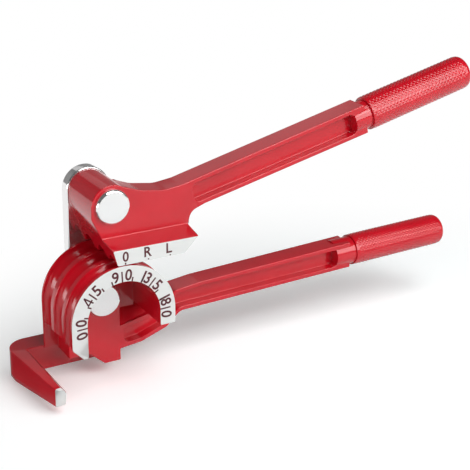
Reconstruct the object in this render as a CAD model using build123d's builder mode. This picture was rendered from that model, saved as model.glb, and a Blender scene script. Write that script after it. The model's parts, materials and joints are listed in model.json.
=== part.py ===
from build123d import *
import os
from math import cos, radians, sin

os.makedirs("parts", exist_ok=True)

# Sizes are in millimetres. X runs along the handles, Y from front to back, Z is up.
# Depths are measured backwards from the machined front faces, heights from the wheel's axis.

# Forming wheel: a half ring with three grooves for three sizes of tube
BEND_R = 23.8
RING_WALL = 7.0
FRONT_RIM = 1.7
SMALL_GROOVE = 6.6
FRONT_RIB = 3.1
MIDDLE_GROOVE = 8.3
REAR_RIB = 3.7
LARGE_GROOVE = 9.8
REAR_RIM = 1.0
RIGHT_DROP = 6.9
LEFT_DROP = 14.6
COLUMN_RELIEF = 5.0
RING_BORE_R = BEND_R - RING_WALL
SMALL_DEPTH = FRONT_RIM + SMALL_GROOVE / 2
MIDDLE_DEPTH = SMALL_DEPTH + SMALL_GROOVE / 2 + FRONT_RIB + MIDDLE_GROOVE / 2
LARGE_DEPTH = MIDDLE_DEPTH + MIDDLE_GROOVE / 2 + REAR_RIB + LARGE_GROOVE / 2
WHEEL_W = LARGE_DEPTH + LARGE_GROOVE / 2 + REAR_RIM
GROOVES = ((SMALL_DEPTH, SMALL_GROOVE), (MIDDLE_DEPTH, MIDDLE_GROOVE), (LARGE_DEPTH, LARGE_GROOVE))

# Pins, both with a flat round head in front and a snap ring behind the link
HEAD_R = 7.6
HEAD_T = 1.9
HEAD_ROUND = 1.2
PIN_R = 5.0
PIN_CLEARANCE = 0.05
HEAD_CLEARANCE = 0.1
PIN_CHAMFER = 0.5

# Wall behind the ring, plate that carries the wheel pin, and the ramp down to the handle
WEB_T = 7.2
WEB_DROP = 8.1
PLATE_T = 12.2
PLATE_DROP = 31.3
PLATE_STEP = 6.3
PLATE_CUT = 7.2
BOSS_MARGIN = 0.1
BOSS_R = HEAD_R + BOSS_MARGIN
WEB_FRONT = WHEEL_W - WEB_T
PLATE_FRONT = WHEEL_W - PLATE_T

# Root wall behind the tubes and the hook arm that runs forward from it
ROOT_T = 11.3
ROOT_TOP = 22.0
ROOT_H = 11.8
ROOT_CORNER = 9.2
ARM_W = 7.2
ARM_H = 16.0
ARM_GAP = 7.3
TIP_W = 4.9
TIP_H = 8.8
TIP_GAP = 3.6
TIP_TOP = 24.8
ARM_LEFT = BEND_R + ARM_GAP + ARM_W
BODY_W = WHEEL_W + ROOT_T

# Shoe: a straight block with the same three grooves, under the second pin
SHOE_GAP = 0.4
PIN_RISE = 22.6
SHOE_REACH = 35.3
SHOE_BACK = 4.9
SHOE_FRONT_H = 6.8
SHOE_H = 8.8
SHOE_TAPER = 6.7
SHOE_BACK_SLANT = 2.5
SHOE_BOSS_R = 9.2
LIP_DEPTH = 10.0
SHOE_FACE = BEND_R + SHOE_GAP
PIN_SPACING = SHOE_FACE + PIN_RISE

# Link plate and what holds it on the pins
LINK_GAP = 0.2
LINK_T = 5.6
LINK_W = 20.0
WASHER_R = 8.2
WASHER_T = 1.0
RING_R = 7.4
RING_T = 1.0
RING_SEAT = 0.9
RING_MOUTH = 6.4
RING_PLAY = 0.05
PIN_END = 1.1
LINK_FRONT = WHEEL_W + LINK_GAP
LINK_BACK = LINK_FRONT + LINK_T
WASHER_BACK = LINK_BACK + WASHER_T
RING_FRONT = WASHER_BACK + RING_PLAY
RING_BACK = RING_FRONT + RING_T
PIN_BACK = RING_BACK + RING_PLAY + PIN_END

# Handles: two flat beams side by side, each ending in a round grip
HANDLE_T = 11.0
HANDLE_GAP = 1.0
LOWER_FRONT = LIP_DEPTH + HANDLE_T + HANDLE_GAP
FLANGE_T = 2.1
WEB_THIN = 2.6
RECESS_ROUND = 2.2
RECESS_END = 6.0
NECK_ROUND = 5.0
NECK_SWEEP = 14.0
COLLAR_R = 6.8
COLLAR_L = 3.0
GRIP_ROUND = 2.6
BEAM_L = 131.0

UPPER_TILT = radians(13.85)
UPPER_RISE = 11.8
UPPER_TOP_ROOT = 6.8
UPPER_TOP_END = 6.9
UPPER_BOTTOM_ROOT = 5.9
UPPER_BOTTOM_END = 7.0
UPPER_RECESS_SETBACK = 4.2
UPPER_NECK_RUN = 8.2
UPPER_GRIP_R = 7.9
UPPER_GRIP_L = 61.0
UPPER_FOOT = SHOE_FACE + UPPER_RISE

LOWER_TILT = radians(1.42)
LOWER_DROP = 7.87
LOWER_TOP_ROOT = 4.9
LOWER_TOP_END = 6.3
LOWER_BOTTOM_ROOT = 7.0
LOWER_BOTTOM_END = 6.6
LOWER_GRIP_R = 7.5
LOWER_GRIP_L = 57.4
LOWER_FOOT = -LOWER_DROP

# The origin lies on the ground under the middle of the object's box.
GRIPS = ((UPPER_GRIP_L, UPPER_GRIP_R, UPPER_TILT), (LOWER_GRIP_L, LOWER_GRIP_R, LOWER_TILT))
GRIP_REACH = max(
    (BEAM_L + length - GRIP_ROUND) * cos(tilt) + (radius - GRIP_ROUND) * sin(tilt) + GRIP_ROUND
    for length, radius, tilt in GRIPS
)
AXIS_X = (ARM_LEFT - GRIP_REACH) / 2
AXIS_Y = -BODY_W / 2
AXIS_Z = ROOT_TOP + ARM_H
OVERRUN = 1.0


def front_view(depth):
    """A plane that faces the viewer, at a depth behind the front faces."""
    return Plane(origin=(AXIS_X, AXIS_Y + depth, AXIS_Z), x_dir=(1, 0, 0), z_dir=(0, -1, 0))


def side_view(x):
    """A plane across the handles, drawn as depth and height."""
    return Plane(origin=(AXIS_X + x, AXIS_Y, AXIS_Z), x_dir=(0, 1, 0), z_dir=(1, 0, 0))


def plan_view(height):
    """A level plane, drawn as distance from the wheel's axis and depth."""
    return Plane(origin=(AXIS_X, AXIS_Y, AXIS_Z + height), x_dir=(1, 0, 0), z_dir=(0, 0, 1))


def on_beam(foot, tilt, along, up):
    """A point beside a handle's centreline, which starts at height foot above the wheel's axis."""
    return (along * cos(tilt) - up * sin(tilt), foot + along * sin(tilt) + up * cos(tilt))


def grip_view(foot, tilt, depth):
    """The plane through a grip's centreline, with its own X along that line."""
    start = (AXIS_X, AXIS_Y + depth, AXIS_Z + foot)
    return Plane(origin=start, x_dir=(cos(tilt), 0, sin(tilt)), z_dir=(0, -1, 0))


def across_beam(foot, tilt, depth, along):
    """The plane across a handle, at a distance along its centreline, that faces the grip."""
    x, z = on_beam(foot, tilt, along, 0)
    return Plane(origin=(AXIS_X + x, AXIS_Y + depth, AXIS_Z + z), z_dir=(cos(tilt), 0, sin(tilt)))


# Neck of the lower handle, as shares of the bend radius
LOWER_TOP_SHARES = ((0.32, -0.605), (0.87, -0.5), (1.5, -0.135))
LOWER_BOTTOM_SHARES = ((0.32, -1.088), (0.76, -1.042), (1.3, -0.853), (1.58, -0.588))

# Neck of the upper handle, as shares of the shoe's reach and of the pin's height above the shoe
UPPER_TOP_SHARES = ((0.085, 1.376), (0.368, 1.217), (0.68, 1.142))
UPPER_BOTTOM_SHARES = ((0.99, 0.22), (1.0, 0.354), (1.045, 0.62))

# Sections of the hook arm at its heel and at its tip, as shares of their width and height
ARM_ROOT_SHARES = ((0, 1), (0.87, 1), (1, 0.944), (1, 0), (0.46, 0), (0.11, 0.1), (0, 0.275))
ARM_TIP_SHARES = ((0, 0.954), (0.45, 1), (1, 0.68), (0.92, 0.02), (0.1, 0), (0.02, 0.02), (0, 0.07))

# Lower casting: wheel, hook and lower handle in one piece
with BuildPart() as lower_casting:
    left_section = Plane(origin=(AXIS_X, AXIS_Y, AXIS_Z), x_dir=(-1, 0, 0), z_dir=(0, 0, -1))
    right_section = Plane(origin=(AXIS_X, AXIS_Y, AXIS_Z), x_dir=(1, 0, 0), z_dir=(0, 0, 1))
    with BuildSketch(left_section) as left_ring:
        with Locations(((BEND_R + RING_BORE_R) / 2, WHEEL_W / 2)):
            Rectangle(RING_WALL, WHEEL_W)
        for depth, groove in GROOVES:
            with Locations((BEND_R, depth)):
                Circle(groove / 2, mode=Mode.SUBTRACT)
    revolve(axis=Axis((AXIS_X, AXIS_Y, AXIS_Z), (0, 1, 0)), revolution_arc=180)
    extrude(left_ring.sketch, amount=LEFT_DROP)
    with BuildSketch(right_section):
        with Locations(((BEND_R + RING_BORE_R) / 2, WHEEL_W / 2)):
            Rectangle(RING_WALL, WHEEL_W)
        for depth, groove in GROOVES:
            with Locations((BEND_R, depth)):
                Circle(groove / 2, mode=Mode.SUBTRACT)
    extrude(amount=-RIGHT_DROP)

    # The column's outer corner is cut off at 45 degrees, in front of its rear rim.
    with BuildSketch(front_view(WHEEL_W - REAR_RIM)):
        with BuildLine():
            Polyline(
                (-BEND_R - OVERRUN, -LEFT_DROP + COLUMN_RELIEF + OVERRUN),
                (-BEND_R + COLUMN_RELIEF + OVERRUN, -LEFT_DROP - OVERRUN),
                (-BEND_R - OVERRUN, -LEFT_DROP - OVERRUN),
                close=True,
            )
        make_face()
    extrude(amount=WHEEL_W - REAR_RIM, mode=Mode.SUBTRACT)

    # Wall that closes the ring at the back
    with BuildSketch(front_view(WHEEL_W)):
        with BuildLine():
            Line((-RING_BORE_R, 0), (-RING_BORE_R, -WEB_DROP))
            Line((-RING_BORE_R, -WEB_DROP), (RING_BORE_R, -WEB_DROP))
            Line((RING_BORE_R, -WEB_DROP), (RING_BORE_R, 0))
            RadiusArc((RING_BORE_R, 0), (-RING_BORE_R, 0), -RING_BORE_R)
        make_face()
    extrude(amount=WEB_T)

    # Plate and boss that carry the wheel pin
    with BuildSketch(front_view(WHEEL_W)):
        with BuildLine():
            Polyline(
                (-RING_BORE_R, 0),
                (-RING_BORE_R, -PLATE_DROP + PLATE_STEP),
                (-PLATE_CUT, -PLATE_DROP + PLATE_STEP),
                (0, -PLATE_DROP),
                (BOSS_R, -PLATE_DROP),
                (BOSS_R, 0),
                close=True,
            )
        make_face()
        Circle(BOSS_R)
    extrude(amount=PLATE_T)

    # Ramp between the wall and the top of the handle
    with BuildSketch(side_view(0)):
        with BuildLine():
            Polyline(
                (LOWER_FRONT, LOWER_TOP_SHARES[0][1] * BEND_R),
                (WEB_FRONT, -WEB_DROP),
                (WHEEL_W, -WEB_DROP),
                (WHEEL_W, LOWER_TOP_SHARES[0][1] * BEND_R),
                close=True,
            )
        make_face()
    extrude(amount=BEND_R)

    # Root wall behind the tubes, with the taller heel of the hook arm at its left end
    heel = [(-ARM_LEFT + x * ARM_W, -ROOT_TOP - ARM_H + z * ARM_H) for x, z in ARM_ROOT_SHARES]
    with BuildSketch(front_view(BODY_W)):
        with BuildLine():
            Polyline(*heel, close=True)
        make_face()
        with Locations(((BOSS_R - ARM_LEFT + ARM_W / 2) / 2, -ROOT_TOP - ROOT_H / 2)):
            Rectangle(BOSS_R + ARM_LEFT - ARM_W / 2, ROOT_H)
    extrude(amount=ROOT_T)

    # Its outer corner is rounded in plan.
    with BuildSketch(plan_view(-ROOT_TOP)):
        with BuildLine():
            Polyline((-ARM_LEFT, BODY_W - ROOT_CORNER), (-ARM_LEFT, BODY_W), (-ARM_LEFT + ROOT_CORNER, BODY_W))
            RadiusArc((-ARM_LEFT + ROOT_CORNER, BODY_W), (-ARM_LEFT, BODY_W - ROOT_CORNER), -ROOT_CORNER)
        make_face()
    extrude(amount=-ARM_H, mode=Mode.SUBTRACT)

    # Rear rim of the column, carried down to the root wall
    with BuildSketch(front_view(WHEEL_W)):
        with Locations((-BEND_R + RING_WALL / 2, -(COLUMN_RELIEF + ROOT_TOP) / 2 - OVERRUN)):
            Rectangle(RING_WALL, ROOT_TOP - COLUMN_RELIEF)
    extrude(amount=REAR_RIM)

    # Hook arm, tapering to its machined tip
    tip_left = -BEND_R - TIP_GAP - TIP_W
    tip = [(tip_left + x * TIP_W, -TIP_TOP - TIP_H + z * TIP_H) for x, z in ARM_TIP_SHARES]
    with BuildSketch(front_view(WHEEL_W)):
        with BuildLine():
            Polyline(*heel, close=True)
        make_face()
    with BuildSketch(front_view(0)):
        with BuildLine():
            Polyline(*tip, close=True)
        make_face()
    loft(ruled=True)

    # Lower handle
    with BuildSketch(front_view(LOWER_FRONT + HANDLE_T)):
        with BuildLine():
            top = [(x * BEND_R, z * BEND_R) for x, z in LOWER_TOP_SHARES]
            top.append(on_beam(LOWER_FOOT, LOWER_TILT, 2 * BEND_R, LOWER_TOP_ROOT))
            top.append(on_beam(LOWER_FOOT, LOWER_TILT, BEAM_L, LOWER_TOP_END))
            bottom = [(x * BEND_R, z * BEND_R) for x, z in LOWER_BOTTOM_SHARES]
            bottom.append(on_beam(LOWER_FOOT, LOWER_TILT, 2 * BEND_R, -LOWER_BOTTOM_ROOT))
            bottom.append(on_beam(LOWER_FOOT, LOWER_TILT, BEAM_L, -LOWER_BOTTOM_END))
            FilletPolyline(*top, radius=NECK_ROUND)
            FilletPolyline(*bottom, radius=NECK_ROUND)
            Line(top[0], bottom[0])
            Line(top[-1], bottom[-1])
        make_face()
    extrude(amount=HANDLE_T)

    # Recesses in both sides of the handle
    for depth in (LOWER_FRONT + (HANDLE_T - WEB_THIN) / 2, LOWER_FRONT + HANDLE_T):
        with BuildSketch(front_view(depth)) as lower_recess:
            with BuildLine():
                top = [(x * BEND_R, z * BEND_R) for x, z in LOWER_TOP_SHARES]
                top.append(on_beam(LOWER_FOOT, LOWER_TILT, 2 * BEND_R, LOWER_TOP_ROOT))
                top.append(on_beam(LOWER_FOOT, LOWER_TILT, BEAM_L - RECESS_END, LOWER_TOP_END))
                bottom = [(x * BEND_R, z * BEND_R) for x, z in LOWER_BOTTOM_SHARES]
                bottom.append(on_beam(LOWER_FOOT, LOWER_TILT, 2 * BEND_R, -LOWER_BOTTOM_ROOT))
                bottom.append(on_beam(LOWER_FOOT, LOWER_TILT, BEAM_L - RECESS_END, -LOWER_BOTTOM_END))
                FilletPolyline(*top, radius=NECK_ROUND)
                FilletPolyline(*bottom, radius=NECK_ROUND)
                Line(top[0], bottom[0])
                Line(top[-1], bottom[-1])
            make_face()
            offset(amount=-FLANGE_T, kind=Kind.INTERSECTION, mode=Mode.REPLACE)
            fillet(lower_recess.vertices().group_by(Axis.X)[0], RECESS_ROUND)
            fillet(lower_recess.vertices().group_by(Axis.X)[-1], RECESS_ROUND)
        extrude(amount=(HANDLE_T - WEB_THIN) / 2, mode=Mode.SUBTRACT)

    # Lower grip, whose collar starts at the end of the recesses
    with BuildSketch(grip_view(LOWER_FOOT, LOWER_TILT, LOWER_FRONT + HANDLE_T / 2)) as lower_grip:
        with BuildLine():
            Polyline(
                (BEAM_L - RECESS_END - FLANGE_T, 0),
                (BEAM_L - RECESS_END - FLANGE_T, COLLAR_R),
                (BEAM_L + COLLAR_L, COLLAR_R),
                (BEAM_L + COLLAR_L, LOWER_GRIP_R),
                (BEAM_L + LOWER_GRIP_L, LOWER_GRIP_R),
                (BEAM_L + LOWER_GRIP_L, 0),
                close=True,
            )
        make_face()
        fillet(lower_grip.vertices().group_by(Axis.X)[-1].sort_by(Axis.Y)[-1], GRIP_ROUND)
    revolve(axis=Axis(grip_view(LOWER_FOOT, LOWER_TILT, LOWER_FRONT + HANDLE_T / 2).origin,
                      grip_view(LOWER_FOOT, LOWER_TILT, LOWER_FRONT + HANDLE_T / 2).x_dir))

    # Bore for the wheel pin
    with BuildSketch(front_view(WHEEL_W + OVERRUN)):
        Circle(PIN_R + PIN_CLEARANCE)
    extrude(amount=PLATE_T + OVERRUN * 2, mode=Mode.SUBTRACT)

# The casting is held as two solids that meet across the handle, just past its neck.
lower_seam = across_beam(LOWER_FOOT, LOWER_TILT, LOWER_FRONT, 2 * BEND_R + NECK_ROUND)
with BuildPart() as wheel_casting:
    add(lower_casting.part)
    split(bisect_by=lower_seam, keep=Keep.BOTTOM)
wheel_casting.part.label = "wheel_casting"

with BuildPart() as lower_handle:
    add(lower_casting.part)
    split(bisect_by=lower_seam, keep=Keep.TOP)
lower_handle.part.label = "lower_handle"

# Upper casting: shoe and upper handle in one piece
with BuildPart() as upper_casting:
    # Shoe, over the whole width of the wheel
    with BuildSketch(front_view(WHEEL_W)):
        with BuildLine():
            Polyline(
                (-SHOE_BACK, SHOE_FACE + SHOE_H),
                (-SHOE_BACK + SHOE_BACK_SLANT, SHOE_FACE),
                (SHOE_REACH - SHOE_TAPER, SHOE_FACE),
                (SHOE_REACH, SHOE_FACE + SHOE_FRONT_H),
                (SHOE_REACH, SHOE_FACE + SHOE_H),
                close=True,
            )
        make_face()
    extrude(amount=WHEEL_W)

    # The lip's top slopes down towards the front.
    with BuildSketch(side_view(-SHOE_BACK - OVERRUN)):
        with BuildLine():
            Polyline(
                (-OVERRUN, SHOE_FACE + SHOE_H + OVERRUN),
                (LIP_DEPTH, SHOE_FACE + SHOE_H + OVERRUN),
                (LIP_DEPTH, SHOE_FACE + SHOE_H),
                (0, SHOE_FACE + SHOE_FRONT_H),
                (-OVERRUN, SHOE_FACE + SHOE_FRONT_H),
                close=True,
            )
        make_face()
    extrude(amount=SHOE_BACK + SHOE_REACH + OVERRUN * 2, mode=Mode.SUBTRACT)

    # Boss for the shoe pin, with a flank down to the shoe
    with BuildSketch(front_view(WHEEL_W)):
        with Locations((0, PIN_SPACING)):
            Circle(SHOE_BOSS_R)
        with BuildLine():
            Polyline(
                (-SHOE_BOSS_R, PIN_SPACING),
                (-SHOE_BOSS_R, PIN_SPACING - (PIN_RISE - SHOE_H) / 3),
                (-SHOE_BACK, SHOE_FACE + SHOE_H),
                (SHOE_BOSS_R, SHOE_FACE + SHOE_H),
                (SHOE_BOSS_R, PIN_SPACING),
                close=True,
            )
        make_face()
    extrude(amount=WHEEL_W - LIP_DEPTH)

    # Neck and upper handle
    with BuildSketch(front_view(LIP_DEPTH + HANDLE_T)):
        with BuildLine():
            top = [(x * SHOE_REACH, SHOE_FACE + z * PIN_RISE) for x, z in UPPER_TOP_SHARES]
            top.append(on_beam(UPPER_FOOT, UPPER_TILT, SHOE_REACH, UPPER_TOP_ROOT))
            top.append(on_beam(UPPER_FOOT, UPPER_TILT, BEAM_L, UPPER_TOP_END))
            bottom = [(x * SHOE_REACH, SHOE_FACE + z * PIN_RISE) for x, z in UPPER_BOTTOM_SHARES]
            bottom.append(on_beam(UPPER_FOOT, UPPER_TILT, SHOE_REACH + UPPER_NECK_RUN, -UPPER_BOTTOM_ROOT))
            bottom.append(on_beam(UPPER_FOOT, UPPER_TILT, BEAM_L, -UPPER_BOTTOM_END))
            FilletPolyline(*top, radius=NECK_SWEEP)
            FilletPolyline(*bottom, radius=NECK_ROUND)
            Polyline(top[0], (0, PIN_SPACING), (0, SHOE_FACE + SHOE_H / 2), bottom[0])
            Line(top[-1], bottom[-1])
        make_face()
    extrude(amount=HANDLE_T)

    # Recesses in both sides of the handle
    for depth in (LIP_DEPTH + (HANDLE_T - WEB_THIN) / 2, LIP_DEPTH + HANDLE_T):
        with BuildSketch(front_view(depth)) as upper_recess:
            with BuildLine():
                Polyline(
                    on_beam(UPPER_FOOT, UPPER_TILT, SHOE_REACH + UPPER_RECESS_SETBACK, UPPER_TOP_ROOT - FLANGE_T),
                    on_beam(UPPER_FOOT, UPPER_TILT, BEAM_L - RECESS_END, UPPER_TOP_END - FLANGE_T),
                    on_beam(UPPER_FOOT, UPPER_TILT, BEAM_L - RECESS_END, FLANGE_T - UPPER_BOTTOM_END),
                    on_beam(UPPER_FOOT, UPPER_TILT, SHOE_REACH + UPPER_RECESS_SETBACK, FLANGE_T - UPPER_BOTTOM_ROOT),
                    close=True,
                )
            make_face()
            fillet(upper_recess.vertices(), RECESS_ROUND)
        extrude(amount=(HANDLE_T - WEB_THIN) / 2, mode=Mode.SUBTRACT)

    # Upper grip
    with BuildSketch(grip_view(UPPER_FOOT, UPPER_TILT, LIP_DEPTH + HANDLE_T / 2)) as upper_grip:
        with BuildLine():
            Polyline(
                (BEAM_L - RECESS_END, 0),
                (BEAM_L - RECESS_END, COLLAR_R),
                (BEAM_L + COLLAR_L, COLLAR_R),
                (BEAM_L + COLLAR_L, UPPER_GRIP_R),
                (BEAM_L + UPPER_GRIP_L, UPPER_GRIP_R),
                (BEAM_L + UPPER_GRIP_L, 0),
                close=True,
            )
        make_face()
        fillet(upper_grip.vertices().group_by(Axis.X)[-1].sort_by(Axis.Y)[-1], GRIP_ROUND)
    revolve(axis=Axis(grip_view(UPPER_FOOT, UPPER_TILT, LIP_DEPTH + HANDLE_T / 2).origin,
                      grip_view(UPPER_FOOT, UPPER_TILT, LIP_DEPTH + HANDLE_T / 2).x_dir))

    # Grooves under the shoe, in line with the wheel's
    with BuildSketch(side_view(-SHOE_BACK - OVERRUN)):
        for depth, groove in GROOVES:
            with Locations((depth, BEND_R)):
                Circle(groove / 2)
    extrude(amount=SHOE_BACK + SHOE_REACH + OVERRUN * 2, mode=Mode.SUBTRACT)

    # Bore for the shoe pin
    with BuildSketch(front_view(WHEEL_W + OVERRUN)):
        with Locations((0, PIN_SPACING)):
            Circle(PIN_R + PIN_CLEARANCE)
    extrude(amount=WHEEL_W, mode=Mode.SUBTRACT)

# It too is held as two solids that meet just past the neck.
upper_seam = across_beam(UPPER_FOOT, UPPER_TILT, LIP_DEPTH, SHOE_REACH + UPPER_NECK_RUN + NECK_ROUND)
with BuildPart() as shoe_casting:
    add(upper_casting.part)
    split(bisect_by=upper_seam, keep=Keep.BOTTOM)
shoe_casting.part.label = "shoe_casting"

with BuildPart() as upper_handle:
    add(upper_casting.part)
    split(bisect_by=upper_seam, keep=Keep.TOP)
upper_handle.part.label = "upper_handle"

# Link plate behind both castings
with BuildPart() as link_plate:
    with BuildSketch(front_view(LINK_BACK)):
        with Locations((0, PIN_SPACING / 2)):
            SlotCenterToCenter(PIN_SPACING, LINK_W, rotation=90)
        with Locations((0, 0), (0, PIN_SPACING)):
            Circle(PIN_R + PIN_CLEARANCE, mode=Mode.SUBTRACT)
    extrude(amount=LINK_T)
link_plate.part.label = "link_plate"

# Pins, washers and snap rings, one set on each axis
small_parts = []
for name, height, seat in (("wheel", 0, PLATE_FRONT), ("shoe", PIN_SPACING, LIP_DEPTH)):
    with BuildPart() as pin:
        with BuildSketch(front_view(PIN_BACK)):
            with Locations((0, height)):
                Circle(PIN_R)
        extrude(amount=PIN_BACK - seat + HEAD_CLEARANCE)
        chamfer(pin.edges().filter_by(GeomType.CIRCLE).group_by(Axis.Y)[-1], PIN_CHAMFER)
        with BuildSketch(front_view(seat - HEAD_CLEARANCE)):
            with Locations((0, height)):
                Circle(HEAD_R)
        extrude(amount=HEAD_T)
        fillet(pin.edges().filter_by(GeomType.CIRCLE).group_by(Axis.Y)[0], HEAD_ROUND)
        with BuildSketch(front_view(RING_BACK + RING_PLAY)):
            with Locations((0, height)):
                Circle(PIN_R + OVERRUN)
                Circle(PIN_R - RING_SEAT, mode=Mode.SUBTRACT)
        extrude(amount=RING_T + RING_PLAY, mode=Mode.SUBTRACT)
    pin.part.label = name + "_pin"

    with BuildPart() as washer:
        with BuildSketch(front_view(WASHER_BACK)):
            with Locations((0, height)):
                Circle(WASHER_R)
                Circle(PIN_R + PIN_CLEARANCE, mode=Mode.SUBTRACT)
        extrude(amount=WASHER_T)
    washer.part.label = name + "_pin_washer"

    with BuildPart() as ring:
        with BuildSketch(front_view(RING_BACK)):
            with Locations((0, height)):
                Circle(RING_R)
                Circle(PIN_R - RING_SEAT + RING_PLAY, mode=Mode.SUBTRACT)
            with Locations((0, height - RING_R / 2)):
                Rectangle(RING_MOUTH, RING_R, mode=Mode.SUBTRACT)
        extrude(amount=RING_T)
    ring.part.label = name + "_pin_ring"
    small_parts += [pin.part, washer.part, ring.part]

castings = [wheel_casting.part, lower_handle.part, shoe_casting.part, upper_handle.part]
for piece in castings + [link_plate.part] + small_parts:
    export_step(piece, "parts/" + piece.label + ".step")
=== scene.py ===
import json
from math import cos, pi, radians, sin

import bmesh
import bpy
import numpy as np
from mathutils import Matrix, Vector


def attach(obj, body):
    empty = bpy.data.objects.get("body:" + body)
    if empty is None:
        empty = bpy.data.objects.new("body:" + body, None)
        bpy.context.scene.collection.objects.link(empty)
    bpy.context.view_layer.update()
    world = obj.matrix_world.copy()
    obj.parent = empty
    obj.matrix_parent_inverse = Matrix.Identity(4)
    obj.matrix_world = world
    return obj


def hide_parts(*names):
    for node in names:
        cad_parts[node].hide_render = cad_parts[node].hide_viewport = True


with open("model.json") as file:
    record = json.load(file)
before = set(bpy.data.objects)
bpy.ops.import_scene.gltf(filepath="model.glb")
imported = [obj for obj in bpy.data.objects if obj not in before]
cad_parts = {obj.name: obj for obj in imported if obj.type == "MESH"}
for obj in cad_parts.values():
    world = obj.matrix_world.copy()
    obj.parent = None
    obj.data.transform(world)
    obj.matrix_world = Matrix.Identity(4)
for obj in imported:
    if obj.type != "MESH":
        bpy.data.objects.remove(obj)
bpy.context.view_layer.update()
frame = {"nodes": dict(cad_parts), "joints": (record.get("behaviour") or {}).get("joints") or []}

# Lower casting
# One zinc die casting holds the half-round wheel with its three grooves, the hook that traps the
# tube and the lower handle. It is painted a glossy red, then the dial's face and the tip of the
# hook are milled bare. Its edges are rounded by the die and by the coat of paint.
MM = 0.001
LOWER_TILT = radians(1.42)
LOWER_FOOT = -7.87 * MM
LOWER_DEPTH = 27.5 * MM
LOWER_SEAM = 52.6 * MM
LOWER_COLLAR = 69.0 * MM
COLLAR_REACH = 7.6 * MM
EDGE_ROUND = 0.38 * MM
EDGE_STEPS = 3
SHARP_TURN = radians(28)
SMOOTH_TURN = radians(13)
COLLAR_TURN = radians(42)
FLAT_TURN = radians(0.1)
SAME_POINT = 0.002 * MM
FACES_FRONT = -0.99
EVEN_WEIGHT = 50

RED = (0.58, 0.005, 0.016)
DEEP_RED = (0.52, 0.004, 0.013)
RED_PATCHES_PER_METRE = 55
RED_DETAIL = 2
RED_NOISE_LOW = 0.3
RED_NOISE_HIGH = 0.6
PEEL_PATCHES_PER_METRE = 500
PEEL_DETAIL = 1
PAINT_ROUGH_LOW = 0.13
PAINT_ROUGH_HIGH = 0.19
COAT_SHARE = 0.25
COAT_ROUGH = 0.05

BARE = (0.80, 0.80, 0.79)
BARE_METALLIC = 0.75
BARE_ROUGH_LOW = 0.32
BARE_ROUGH_HIGH = 0.52
CUTTER_TURN = radians(20)
CUTTER_MARKS_PER_METRE = (300, 3000, 6000)
CUTTER_DETAIL = 3
CUTTER_STRENGTH = 0.15
CUTTER_DEPTH = 0.02 * MM


def fill_inputs(tree, node, inputs):
    """Each input, by name or number, takes its value, or a link where that is another node's socket."""
    for key, value in inputs.items():
        if isinstance(value, bpy.types.NodeSocket):
            tree.links.new(value, node.inputs[key])
        else:
            node.inputs[key].default_value = value


def add_node(tree, kind, inputs, **settings):
    """A shader node of one kind. Its settings come first, because they decide which inputs it has."""
    node = tree.nodes.new("ShaderNode" + kind)
    for key, value in settings.items():
        setattr(node, key, value)
    fill_inputs(tree, node, inputs)
    return node


def red_paint():
    """Gloss paint under a thin clear coat. The red is mixed from two by noise with patches of about
    20 mm, and the roughness runs between two values by noise with patches of about 2 mm."""
    material = bpy.data.materials.new("red_paint")
    material.use_nodes = True
    tree = material.node_tree
    place = add_node(tree, "TexCoord", {}).outputs["Object"]
    drift = add_node(tree, "TexNoise", {
        "Vector": place, "Scale": RED_PATCHES_PER_METRE, "Detail": RED_DETAIL})
    spread = add_node(tree, "MapRange", {
        "Value": drift.outputs["Fac"], "From Min": RED_NOISE_LOW, "From Max": RED_NOISE_HIGH})
    tone = add_node(tree, "Mix", {
        "Factor": spread.outputs["Result"], "A": (*DEEP_RED, 1), "B": (*RED, 1)}, data_type="RGBA")
    peel = add_node(tree, "TexNoise", {
        "Vector": place, "Scale": PEEL_PATCHES_PER_METRE, "Detail": PEEL_DETAIL})
    rough = add_node(tree, "MapRange", {
        "Value": peel.outputs["Fac"], "To Min": PAINT_ROUGH_LOW, "To Max": PAINT_ROUGH_HIGH})
    fill_inputs(tree, tree.nodes["Principled BSDF"], {
        "Base Color": tone.outputs["Result"], "Roughness": rough.outputs["Result"],
        "Coat Weight": COAT_SHARE, "Coat Roughness": COAT_ROUGH})
    return material


def milled_zinc():
    """Bare satin zinc. Noise drawn out into straight cutter marks, about 0.15 mm apart, sets both the
    roughness and the height of a slight bump."""
    material = bpy.data.materials.new("milled_zinc")
    material.use_nodes = True
    tree = material.node_tree
    place = add_node(tree, "TexCoord", {}).outputs["Object"]
    drawn_out = add_node(tree, "Mapping", {
        "Vector": place, "Rotation": (0, CUTTER_TURN, 0), "Scale": CUTTER_MARKS_PER_METRE})
    marks = add_node(tree, "TexNoise", {
        "Vector": drawn_out.outputs["Vector"], "Scale": 1, "Detail": CUTTER_DETAIL})
    rough = add_node(tree, "MapRange", {
        "Value": marks.outputs["Fac"], "To Min": BARE_ROUGH_LOW, "To Max": BARE_ROUGH_HIGH})
    bump = add_node(tree, "Bump", {
        "Height": marks.outputs["Fac"], "Strength": CUTTER_STRENGTH, "Distance": CUTTER_DEPTH})
    fill_inputs(tree, tree.nodes["Principled BSDF"], {
        "Base Color": (*BARE, 1), "Metallic": BARE_METALLIC,
        "Roughness": rough.outputs["Result"], "Normal": bump.outputs["Normal"]})
    return material


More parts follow.
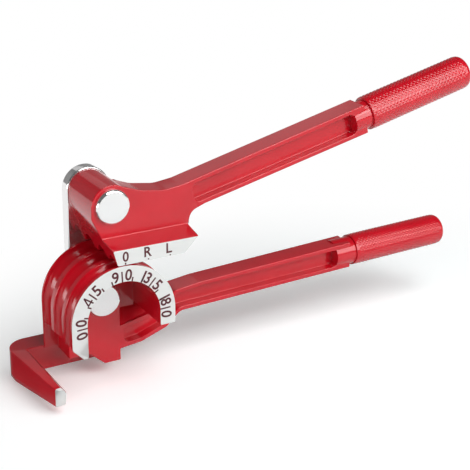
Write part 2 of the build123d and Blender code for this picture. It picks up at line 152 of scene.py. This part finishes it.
def welded_mesh(name, solids, seam):
    """One mesh from solids that meet across a seam, given as a point and a direction. The two faces
    in the seam's plane are left out and their rims welded, doubles are merged and flat faces joined,
    and the outcome is cut into triangles."""
    whole = bmesh.new()
    for solid in solids:
        part = bmesh.new()
        part.from_mesh(frame["nodes"][solid].data)
        bmesh.ops.remove_doubles(part, verts=part.verts, dist=SAME_POINT)
        if seam is not None:
            point, direction = seam
            inner = [face for face in part.faces
                     if all(abs((corner.co - point).dot(direction)) < SAME_POINT for corner in face.verts)]
            bmesh.ops.delete(part, geom=inner, context="FACES")
        half = bpy.data.meshes.new(solid + "_half")
        part.to_mesh(half)
        part.free()
        whole.from_mesh(half)
        bpy.data.meshes.remove(half)
    bmesh.ops.remove_doubles(whole, verts=whole.verts, dist=SAME_POINT)
    bmesh.ops.dissolve_limit(whole, angle_limit=FLAT_TURN, verts=whole.verts, edges=whole.edges)
    bmesh.ops.triangulate(whole, faces=whole.faces, quad_method="BEAUTY", ngon_method="BEAUTY")
    bmesh.ops.recalc_face_normals(whole, faces=whole.faces)
    mesh = bpy.data.meshes.new(name)
    whole.to_mesh(mesh)
    whole.free()
    return mesh


def read_rows(items, name, width, kind=float):
    """One value of each item as an array, with a row of the given width for each."""
    values = np.empty(len(items) * width, kind)
    items.foreach_get(name, values)
    return values.reshape(-1, width)


def rounded_copy(solids, name, width, seam=None, collar=0, bare_depth=None):
    """The solids as one piece. The turn at an edge is the angle between its two faces. Where that is
    over SHARP_TURN, the edge gets a bevel of the given width. Two kinds of edge get none: those in
    the plane y = bare_depth, whose faces take the second material, and those of the collar, which lie
    past it along the seam's direction and within COLLAR_REACH of its line. An edge without a bevel
    stays sharp where its turn is over SMOOTH_TURN, or COLLAR_TURN on the collar."""
    mesh = welded_mesh(name, solids, seam)
    normals = read_rows(mesh.polygons, "normal", 3)
    centres = read_rows(mesh.polygons, "center", 3)
    corners = read_rows(mesh.polygons, "loop_total", 1, int)[:, 0]
    edge_of_loop = read_rows(mesh.loops, "edge_index", 1, int)[:, 0]
    ends = read_rows(mesh.vertices, "co", 3)[read_rows(mesh.edges, "vertices", 2, int)]

    # Sorted by edge, the loops of an edge's two faces stand side by side.
    face_of_loop = np.repeat(np.arange(len(normals)), corners)
    order = np.argsort(edge_of_loop, kind="stable")
    first = np.searchsorted(edge_of_loop[order], np.arange(len(ends)))
    second = np.minimum(first + 1, len(order) - 1)
    one, other = face_of_loop[order[first]], face_of_loop[order[second]]
    turn = np.arccos(np.clip((normals[one] * normals[other]).sum(1), -1, 1))

    plain = np.zeros(len(ends), bool)
    if bare_depth is not None:
        plain |= (np.abs(ends[..., 1] - bare_depth) < SAME_POINT).all(1)
        bare = (np.abs(centres[:, 1] - bare_depth) < SAME_POINT) & (normals[:, 1] < FACES_FRONT)
        mesh.polygons.foreach_set("material_index", bare.astype(np.int32))
    on_collar = np.zeros(len(ends), bool)
    if collar:
        point, direction = np.array(seam)
        away = ends - point
        along = away @ direction
        off_line = np.linalg.norm(away - along[..., None] * direction, axis=-1)
        on_collar = ((along > collar) & (off_line < COLLAR_REACH)).all(1)
    rounded = (turn > SHARP_TURN) & ~plain & ~on_collar
    weight = mesh.attributes.new("bevel_weight_edge", "FLOAT", "EDGE")
    weight.data.foreach_set("value", rounded.astype(np.float32))
    keen = (turn > np.where(on_collar, COLLAR_TURN, SMOOTH_TURN)) & ~rounded
    sharp = mesh.attributes.get("sharp_edge") or mesh.attributes.new("sharp_edge", "BOOLEAN", "EDGE")
    sharp.data.foreach_set("value", keen)
    mesh.polygons.foreach_set("use_smooth", np.ones(len(normals), bool))

    piece = bpy.data.objects.new(name, mesh)
    bpy.context.scene.collection.objects.link(piece)
    bevel = piece.modifiers.new("edges", "BEVEL")
    bevel.limit_method = "WEIGHT"
    bevel.width = width
    bevel.segments = EDGE_STEPS
    bevel.use_clamp_overlap = False
    bevel.loop_slide = False
    even = piece.modifiers.new("even_normals", "WEIGHTED_NORMAL")
    even.mode = "FACE_AREA"
    even.weight = EVEN_WEIGHT
    even.keep_sharp = True
    return piece


def beam_point(foot, tilt, depth, along):
    """A point on a handle's centreline, which rises by tilt from a foot above the wheel's axis."""
    return wheel_axis + Vector((along * cos(tilt), depth, foot + along * sin(tilt)))


def beam_seam(foot, tilt, depth, along):
    """The plane across a handle, as a point on its centreline and the centreline's direction."""
    return beam_point(foot, tilt, depth, along), Vector((cos(tilt), 0, sin(tilt)))


paint = red_paint()
bare_zinc = milled_zinc()
wheel_axis = Vector(frame["joints"][0]["pos_m"])
front = wheel_axis.y
lower_seam = beam_seam(LOWER_FOOT, LOWER_TILT, LOWER_DEPTH, LOWER_SEAM)
lower = rounded_copy(
    ("wheel_casting", "lower_handle"), "lower_casting", EDGE_ROUND, lower_seam, LOWER_COLLAR, front)
lower.data.materials.append(paint)
lower.data.materials.append(bare_zinc)
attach(lower, "wheel_body")
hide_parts("wheel_casting", "lower_handle")

# Dial
# The angles 0, 45, 90, 135 and 180 are cut round the bare face of the wheel, a long line splitting
# each number, with short lines every 15 degrees between them. The cuts are filled with dark paint.
INK = (0.080, 0.005, 0.011)
INK_ROUGH = 0.5
INK_DEPTH = 0.03 * MM
STROKE_SHARE = 0.020
SIGN_WIDTH_SHARE = 0.95
SIGN_CURVE_STEPS = 5
DIAL_START = radians(182.1)
DIAL_END_DEGREES = 180
DIAL_NUMBER_DEGREES = 45
DIAL_LINE_DEGREES = 15
DIAL_INNER_R = 16.8 * MM
DIAL_LINE = 4.7 * MM
DIAL_SHORT_LINE = 1.9 * MM
DIAL_LINE_W = 0.66 * MM
DIAL_SIGN_R = 19.7 * MM
DIAL_SIGN_TALL = 5.1 * MM
DIAL_SIGN_STEP = radians(8.6)
DIAL_NEXT_STEP = radians(6.4)
FOUR = (
    (0.6 * MM, 0.0, 5.1 * MM, 0.0),
    (0.0, -1.2 * MM, 3.3 * MM, radians(90)),
    (-0.43 * MM, 0.6 * MM, 4.2 * MM, radians(-29)),
)

ink = bpy.data.materials.new("dial_ink")
ink.use_nodes = True
fill_inputs(ink.node_tree, ink.node_tree.nodes["Principled BSDF"], {
    "Base Color": (*INK, 1), "Roughness": INK_ROUGH})


def letter(text, tall):
    """A letter or digit as points about zero and sides: filled, and scaled from its own height to the
    one given, with SIGN_WIDTH_SHARE of its width, from -INK_DEPTH to INK_DEPTH."""
    curve = bpy.data.curves.new("sign", "FONT")
    curve.body = text
    curve.extrude = 1
    curve.resolution_u = SIGN_CURVE_STEPS
    curve.offset = STROKE_SHARE
    shape = bpy.data.objects.new("sign", curve)
    mesh = bpy.data.meshes.new_from_object(shape)
    points = read_rows(mesh.vertices, "co", 3)
    sides = [tuple(face.vertices) for face in mesh.polygons]
    size = points.max(0) - points.min(0)
    points -= (points.max(0) + points.min(0)) / 2
    points[:, :2] *= tall / size[1] * np.array([SIGN_WIDTH_SHARE, 1])
    points[:, 2] = np.sign(points[:, 2]) * INK_DEPTH
    bpy.data.objects.remove(shape)
    bpy.data.curves.remove(curve)
    bpy.data.meshes.remove(mesh)
    return points, sides


def bar(wide, tall):
    """A line as points about zero and sides: a box of a width and height, INK_DEPTH to either side."""
    corners = np.array([(x, y, z) for z in (-1, 1) for y in (-1, 1) for x in (-1, 1)])
    sides = [(0, 2, 3, 1), (4, 5, 7, 6), (0, 1, 5, 4), (2, 6, 7, 3), (0, 4, 6, 2), (1, 3, 7, 5)]
    return corners * (wide / 2, tall / 2, INK_DEPTH), sides


def marks_piece(name, signs):
    """One piece from signs, each (letter or width of a bar, middle across, middle up, height, turn).
    A sign is turned about zero, moved to its middle and set on the castings' front plane, half of
    its depth before it and half in it."""
    parts, faces, start = [], [], 0
    for sign, across, up, tall, turn in signs:
        points, sides = letter(sign, tall) if isinstance(sign, str) else bar(sign, tall)
        x = points[:, 0] * cos(turn) - points[:, 1] * sin(turn) + across
        z = points[:, 0] * sin(turn) + points[:, 1] * cos(turn) + up
        parts.append(np.stack([wheel_axis.x + x, wheel_axis.y - points[:, 2], wheel_axis.z + z], 1))
        faces += [tuple(start + corner for corner in side) for side in sides]
        start += len(points)
    mesh = bpy.data.meshes.new(name)
    mesh.from_pydata(np.concatenate(parts).tolist(), [], faces)
    mesh.materials.append(ink)
    piece = bpy.data.objects.new(name, mesh)
    bpy.context.scene.collection.objects.link(piece)
    return piece


def on_dial(sign, angle, radius, tall, turn=0.0):
    """A sign whose middle lies at an angle and radius on the dial. With no turn its top is outwards."""
    return (sign, radius * cos(angle), radius * sin(angle), tall, angle - pi / 2 + turn)


def four_on_dial(angle):
    """A 4 of three lines, each (middle across, middle up, length, turn). Across over the radius is
    an angle and up is added to the radius, and each turn counts from the upright at the 4's middle."""
    lines = []
    for across, up, length, turn in FOUR:
        aside = across / DIAL_SIGN_R
        lines.append(on_dial(DIAL_LINE_W, angle - aside, DIAL_SIGN_R + up, length, turn + aside))
    return lines


signs = []
for degrees in range(0, DIAL_END_DEGREES + 1, DIAL_LINE_DEGREES):
    angle = DIAL_START - radians(degrees)
    if degrees % DIAL_NUMBER_DEGREES:
        signs.append(on_dial(DIAL_LINE_W, angle, DIAL_INNER_R + DIAL_SHORT_LINE / 2, DIAL_SHORT_LINE))
        continue
    signs.append(on_dial(DIAL_LINE_W, angle, DIAL_INNER_R + DIAL_LINE / 2, DIAL_LINE))
    *before, last = str(degrees) if degrees else "00"
    signs.append(on_dial(last, angle - DIAL_SIGN_STEP, DIAL_SIGN_R, DIAL_SIGN_TALL))
    for place, digit in enumerate(reversed(before)):
        turned = angle + DIAL_SIGN_STEP + place * DIAL_NEXT_STEP
        if digit == "4":
            signs += four_on_dial(turned)
        else:
            signs.append(on_dial(digit, turned, DIAL_SIGN_R, DIAL_SIGN_TALL))
dial = marks_piece("dial_marks", signs)
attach(dial, "wheel_body")

# Upper casting
# The second casting is the shoe, which slides round the wheel on the tube, with the boss for its
# pin and the upper handle. It has the same paint, and its front strip is milled bare.
UPPER_TILT = radians(13.85)
UPPER_FOOT = 36.0 * MM
UPPER_DEPTH = 15.5 * MM
UPPER_SEAM = 48.5 * MM
UPPER_COLLAR = 75.5 * MM

upper_seam = beam_seam(UPPER_FOOT, UPPER_TILT, UPPER_DEPTH, UPPER_SEAM)
upper = rounded_copy(
    ("shoe_casting", "upper_handle"), "upper_casting", EDGE_ROUND, upper_seam, UPPER_COLLAR, front)
upper.data.materials.append(paint)
upper.data.materials.append(bare_zinc)
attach(upper, "shoe_body")
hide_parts("shoe_casting", "upper_handle")

# Marks on the shoe
# Three signs are cut in the shoe's bare strip: 0 over a short line, which reads the dial, and R and
# L over points, which read it for bends measured from the right or the left.
SHOE_SIGN_TALL = 4.5 * MM
SHOE_LINE = 0.9 * MM
POINT = 0.55 * MM
SHOE_SIGNS = (
    ("0", 1.1 * MM, 27.9 * MM, SHOE_SIGN_TALL, 0),
    (DIAL_LINE_W, 1.0 * MM, 24.8 * MM, SHOE_LINE, 0),
    ("R", 11.3 * MM, 28.2 * MM, SHOE_SIGN_TALL, 0),
    (POINT, 11.5 * MM, 24.9 * MM, POINT, 0),
    ("L", 21.1 * MM, 28.0 * MM, SHOE_SIGN_TALL, 0),
    (POINT, 21.6 * MM, 24.8 * MM, POINT, 0),
)

shoe_marks = marks_piece("shoe_marks", SHOE_SIGNS)
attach(shoe_marks, "shoe_body")

# Grips
# Each handle ends in a round grip, cast with it, whose die was knurled: two sets of grooves cross and
# leave small pyramids, softened by the paint, between a plain collar and a round end.
GRIP_START = 134.0 * MM
GRIP_ROUND = 2.6 * MM
ROUND_STEPS = 8
LOWER_GRIP_R = 7.52 * MM
LOWER_GRIP_END = 188.4 * MM
UPPER_GRIP_R = 7.92 * MM
UPPER_GRIP_END = 192.0 * MM
MOUTH_R = 6.0 * MM
MOUTH_SINK = 0.02 * MM
PYRAMIDS_ROUND = 25
PYRAMID_TALL = 0.13 * MM
PYRAMID_FADE = 1.2 * MM


def knurled_grip(name, foot, tilt, depth, broad, end):
    """A closed surface round a handle's centreline. Its profile runs from a ring inside the collar,
    out to the grip's radius, along it, round a quarter circle and in to a point on the end. The
    straight stretch is a grid of squares, half a pyramid's width each, and every second grid point
    stands out by PYRAMID_TALL as a pyramid's tip."""
    step = pi * broad / PYRAMIDS_ROUND
    rows = int((end - GRIP_ROUND - GRIP_START) / step)
    straight = end - GRIP_ROUND - step * np.arange(rows, -1, -1)
    arc = np.linspace(0, pi / 2, ROUND_STEPS + 1)[1:]
    along = np.concatenate([
        [straight[0], straight[0]], straight, end - GRIP_ROUND + GRIP_ROUND * np.sin(arc)])
    radius = np.concatenate([
        [MOUTH_R, broad - MOUTH_SINK], np.full(rows + 1, broad),
        broad - GRIP_ROUND + GRIP_ROUND * np.cos(arc)])
    rings, columns = len(along), 2 * PYRAMIDS_ROUND
    i, j = np.meshgrid(np.arange(columns), np.arange(rings), indexing="ij")
    inside = np.minimum(along - straight[0], straight[-1] - along)
    fade = np.clip(inside / PYRAMID_FADE, 0, 1)
    swell = radius + PYRAMID_TALL * fade * ((i + j) % 2)
    angle = 2 * pi * i / columns
    across, back = swell * np.cos(angle), swell * np.sin(angle)
    start = beam_point(foot, tilt, depth, 0)
    x = start.x + along * cos(tilt) - across * sin(tilt)
    y = start.y + back
    z = start.z + along * sin(tilt) + across * cos(tilt)
    tip = beam_point(foot, tilt, depth, end)
    points = [*np.stack([x, y, z], -1).reshape(-1, 3).tolist(), tuple(tip)]

    # Each square of the grid is cut from groove to groove, so that a tip keeps four flat sides.
    i, j = np.meshgrid(np.arange(columns), np.arange(rings - 1), indexing="ij")
    next_i = (i + 1) % columns
    a, b, c, d = i * rings + j, next_i * rings + j, next_i * rings + j + 1, i * rings + j + 1
    even = ((i + j) % 2 == 0)[..., None]
    one = np.where(even, np.stack([a, b, c], -1), np.stack([a, b, d], -1)).reshape(-1, 3)
    two = np.where(even, np.stack([a, c, d], -1), np.stack([b, c, d], -1)).reshape(-1, 3)
    rim = np.arange(columns) * rings + rings - 1
    cap = np.stack([rim, np.roll(rim, -1), np.full(columns, len(points) - 1)], -1)
    mouth = (np.arange(columns)[::-1] * rings).tolist()
    mesh = bpy.data.meshes.new(name)
    mesh.from_pydata(points, [], [*np.concatenate([one, two, cap]).tolist(), mouth])
    mesh.materials.append(paint)
    past_pyramids = np.tile((j > rows + 1).reshape(-1), 2)
    smooth = np.concatenate([past_pyramids, np.ones(columns, bool), [False]])
    mesh.polygons.foreach_set("use_smooth", smooth)
    piece = bpy.data.objects.new(name, mesh)
    bpy.context.scene.collection.objects.link(piece)
    return piece


lower_grip = knurled_grip(
    "lower_grip", LOWER_FOOT, LOWER_TILT, LOWER_DEPTH, LOWER_GRIP_R, LOWER_GRIP_END)
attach(lower_grip, "wheel_body")
upper_grip = knurled_grip(
    "upper_grip", UPPER_FOOT, UPPER_TILT, UPPER_DEPTH, UPPER_GRIP_R, UPPER_GRIP_END)
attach(upper_grip, "shoe_body")

# Link plate and pins
# A thick plate of chromed steel joins the two pins behind the castings. Each pin has a flat chromed
# head with a rolled edge, and a washer and a snap ring of plain steel hold it behind the plate.
PLATE_ROUND = 0.6 * MM
CHROME = (0.86, 0.85, 0.85)
CHROME_ROUGH = 0.10
CHROME_MARKS = 0.004 * MM
STEEL = (0.58, 0.57, 0.56)
STEEL_ROUGH = 0.34
STEEL_MARKS = 0.01 * MM
METALLIC = 0.9
MARKS_PER_METRE = 1400
MARKS_DETAIL = 4
MARKS_STRENGTH = 0.1
ROUGH_LOW_SHARE = 0.7
ROUGH_HIGH_SHARE = 1.3


def plated_metal(name, colour, rough, marks_depth):
    """Metal with fine marks: one noise moves the roughness between two shares of the value given,
    and sets the height of a bump of marks_depth."""
    material = bpy.data.materials.new(name)
    material.use_nodes = True
    tree = material.node_tree
    place = add_node(tree, "TexCoord", {}).outputs["Object"]
    marks = add_node(tree, "TexNoise", {
        "Vector": place, "Scale": MARKS_PER_METRE, "Detail": MARKS_DETAIL})
    waver = add_node(tree, "MapRange", {
        "Value": marks.outputs["Fac"],
        "To Min": rough * ROUGH_LOW_SHARE, "To Max": rough * ROUGH_HIGH_SHARE})
    bump = add_node(tree, "Bump", {
        "Height": marks.outputs["Fac"], "Strength": MARKS_STRENGTH, "Distance": marks_depth})
    fill_inputs(tree, tree.nodes["Principled BSDF"], {
        "Base Color": (*colour, 1), "Metallic": METALLIC,
        "Roughness": waver.outputs["Result"], "Normal": bump.outputs["Normal"]})
    return material


chrome = plated_metal("chrome_plate", CHROME, CHROME_ROUGH, CHROME_MARKS)
steel = plated_metal("spring_steel", STEEL, STEEL_ROUGH, STEEL_MARKS)
link = rounded_copy(("link_plate",), "link_plate_chromed", PLATE_ROUND)
link.data.materials.append(chrome)
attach(link, "link_body")
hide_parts("link_plate")
for node in ("wheel_pin", "shoe_pin"):
    frame["nodes"][node].material_slots[0].material = chrome
for node in ("wheel_pin_washer", "shoe_pin_washer", "wheel_pin_ring", "shoe_pin_ring"):
    frame["nodes"][node].material_slots[0].material = steel

# Camera
# The photograph is taken with a long lens from the hook's side, a little above the tool. The camera's
# place is measured from the wheel's axis, and its turns are from a level view along +Y.
VIEW_FROM_WHEEL = Vector((-0.18564, -0.40928, 0.21500))
VIEW_AZIMUTH = radians(30.24)
VIEW_DOWN = radians(21.56)
VIEW_ROLL = radians(0.76)
LENS = 90.41
SENSOR = 36
NEAREST = 0.01

camera = bpy.data.objects.new("camera", bpy.data.cameras.new("camera"))
bpy.context.scene.collection.objects.link(camera)
camera.data.lens = LENS
camera.data.sensor_width = SENSOR
camera.data.clip_start = NEAREST
ahead = Vector((sin(VIEW_AZIMUTH), cos(VIEW_AZIMUTH), 0)) * cos(VIEW_DOWN) - Vector((0, 0, sin(VIEW_DOWN)))
level = Vector((cos(VIEW_AZIMUTH), -sin(VIEW_AZIMUTH), 0))
upright = level.cross(ahead)
right = level * cos(VIEW_ROLL) + upright * sin(VIEW_ROLL)
above = upright * cos(VIEW_ROLL) - level * sin(VIEW_ROLL)
turned = Matrix((right, above, -ahead)).transposed()
camera.matrix_world = Matrix.Translation(wheel_axis + VIEW_FROM_WHEEL) @ turned.to_4x4()
bpy.context.scene.camera = camera

# Floor
# The tool stands on a white sweep that runs out into a white background. It is brighter to the camera
# than to the light, and the paint and the chrome mirror it bright too, but for a patch left of the hook
# that is painted dark to mirrored rays only, a painted shadow of the hook that they mirror as shade.
FLOOR_HALF = 3.0
FLOOR_TONE = 0.66
FLOOR_EXPOSED = 1.33
FLOOR_MIRRORED = 1.05
FLOOR_TINT = (0.955, 1.0, 1.0)
# Painted shadow: a dark patch on the floor left of the hook, seen only in mirrored rays, stands in for the
# hook's shade.
PAINTED_SHADE_TONE = 0.10
PAINTED_SHADE_MIDDLE = (-0.18, 0.01, 0)
PAINTED_SHADE_START = 0.095
PAINTED_SHADE_END = 0.055
SWEEP_MIDDLE = (0.03, -0.07, 0)
SWEEP_START = 0.10
SWEEP_END = 0.25

floor_mesh = bpy.data.meshes.new("floor")
floor_mesh.from_pydata(
    [(FLOOR_HALF * x, FLOOR_HALF * y, 0) for x, y in ((-1, -1), (1, -1), (1, 1), (-1, 1))],
    [], [(0, 1, 2, 3)])
floor = bpy.data.objects.new("floor", floor_mesh)
bpy.context.scene.collection.objects.link(floor)


def worked_out(tree, operation, *values):
    """The outcome of a sum, product or larger value in a node tree."""
    return add_node(tree, "Math", dict(enumerate(values)), operation=operation).outputs["Value"]


def past(tree, spot, middle, near, far):
    """A smooth step from 0 at the distance near from a middle to 1 at the distance far."""
    away = add_node(tree, "VectorMath", {0: spot, 1: middle}, operation="DISTANCE").outputs["Value"]
    return add_node(tree, "MapRange", {
        "Value": away, "From Min": near, "From Max": far},
        interpolation_type="SMOOTHSTEP").outputs["Result"]


# The tone is FLOOR_TONE for light that spreads and FLOOR_EXPOSED to the camera. To a mirrored ray it
# is dark on the patch of painted shadow left of the hook and FLOOR_MIRRORED off it.
sweep = bpy.data.materials.new("white_sweep")
sweep.use_nodes = True
tree = sweep.node_tree
tree.nodes.remove(tree.nodes["Principled BSDF"])
ray = add_node(tree, "LightPath", {}).outputs
spot = add_node(tree, "TexCoord", {}).outputs["Object"]
off_painted_shade = past(tree, spot, PAINTED_SHADE_MIDDLE, PAINTED_SHADE_END, PAINTED_SHADE_START)
seen = worked_out(tree, "MULTIPLY_ADD", ray["Is Camera Ray"], FLOOR_EXPOSED - FLOOR_TONE, FLOOR_TONE)
mirror_with_painted_shade = worked_out(
    tree, "MULTIPLY_ADD", off_painted_shade, FLOOR_MIRRORED - PAINTED_SHADE_TONE, PAINTED_SHADE_TONE - FLOOR_TONE)
mirrored = worked_out(tree, "MULTIPLY", ray["Is Glossy Ray"], mirror_with_painted_shade)
tone = worked_out(tree, "ADD", mirrored, seen)
tinted = add_node(tree, "VectorMath", {0: FLOOR_TINT, "Scale": tone}, operation="SCALE")
matt = add_node(tree, "BsdfDiffuse", {"Color": tinted.outputs["Vector"]})

# Away from the tool the floor turns plain white to the camera, and to a mirrored ray off the painted
# shadow.
open_ray = worked_out(
    tree, "MAXIMUM", ray["Is Camera Ray"], worked_out(tree, "MULTIPLY", ray["Is Glossy Ray"], off_painted_shade))
swept = past(tree, spot, SWEEP_MIDDLE, SWEEP_START, SWEEP_END)
white = add_node(tree, "Emission", {})
blend = add_node(tree, "MixShader", {
    "Fac": worked_out(tree, "MULTIPLY", swept, open_ray), 1: matt.outputs[0], 2: white.outputs[0]})
tree.links.new(blend.outputs[0], tree.nodes["Material Output"].inputs["Surface"])
floor_mesh.materials.append(sweep)

# Studio
# One wide soft box stands in front of the tool on the right, another hangs above, and a low strip on
# the left and a faint box behind fill the sides. The room is dark but for a dim band low behind the
# tool, and the camera sees it white. Each lamp has a name, a place, a width, a height and watts.
STUDIO_DARK = 0.06
STUDIO_BACK = 0.19
BAND_TOP = 0.62
BAND_FULL = 0.32
BEHIND_FULL = 0.5
LAMP_AIM = Vector((0, 0, 0.04))
LAMPS = (
    ("front_box", (0.43, -0.82, 0.50), 0.8, 0.70, 7.6),
    ("top_box", (0.12, -0.64, 1.0), 0.7, 0.9, 6.8),
    ("side_box", (-0.85, -0.25, 0.13), 0.7, 0.22, 2.6),
    ("back_box", (0.12, 0.75, 0.62), 0.6, 0.3, 0.25),
)

studio = bpy.data.worlds.new("studio")
bpy.context.scene.world = studio
studio.use_nodes = True
tree = studio.node_tree
way = add_node(tree, "SeparateXYZ", {0: add_node(tree, "TexCoord", {}).outputs["Generated"]})
low = add_node(tree, "MapRange", {
    "Value": way.outputs["Z"], "From Min": BAND_TOP, "From Max": BAND_FULL})
behind = add_node(tree, "MapRange", {"Value": way.outputs["Y"], "From Max": BEHIND_FULL})
band = worked_out(tree, "MULTIPLY", low.outputs["Result"], behind.outputs["Result"])
glow = worked_out(tree, "MULTIPLY_ADD", band, STUDIO_BACK, STUDIO_DARK)
camera_ray = add_node(tree, "LightPath", {}).outputs["Is Camera Ray"]
fill_inputs(tree, tree.nodes["Background"], {
    "Color": (1, 1, 1, 1), "Strength": worked_out(tree, "MAXIMUM", glow, camera_ray)})

for name, place, wide, tall, power in LAMPS:
    lamp = bpy.data.lights.new(name, "AREA")
    lamp.shape = "RECTANGLE"
    lamp.size = wide
    lamp.size_y = tall
    lamp.energy = power
    lit = bpy.data.objects.new(name, lamp)
    bpy.context.scene.collection.objects.link(lit)
    lit.location = place
    lit.rotation_euler = (LAMP_AIM - Vector(place)).to_track_quat("-Z", "Y").to_euler()

bpy.context.scene.view_settings.view_transform = "Standard"
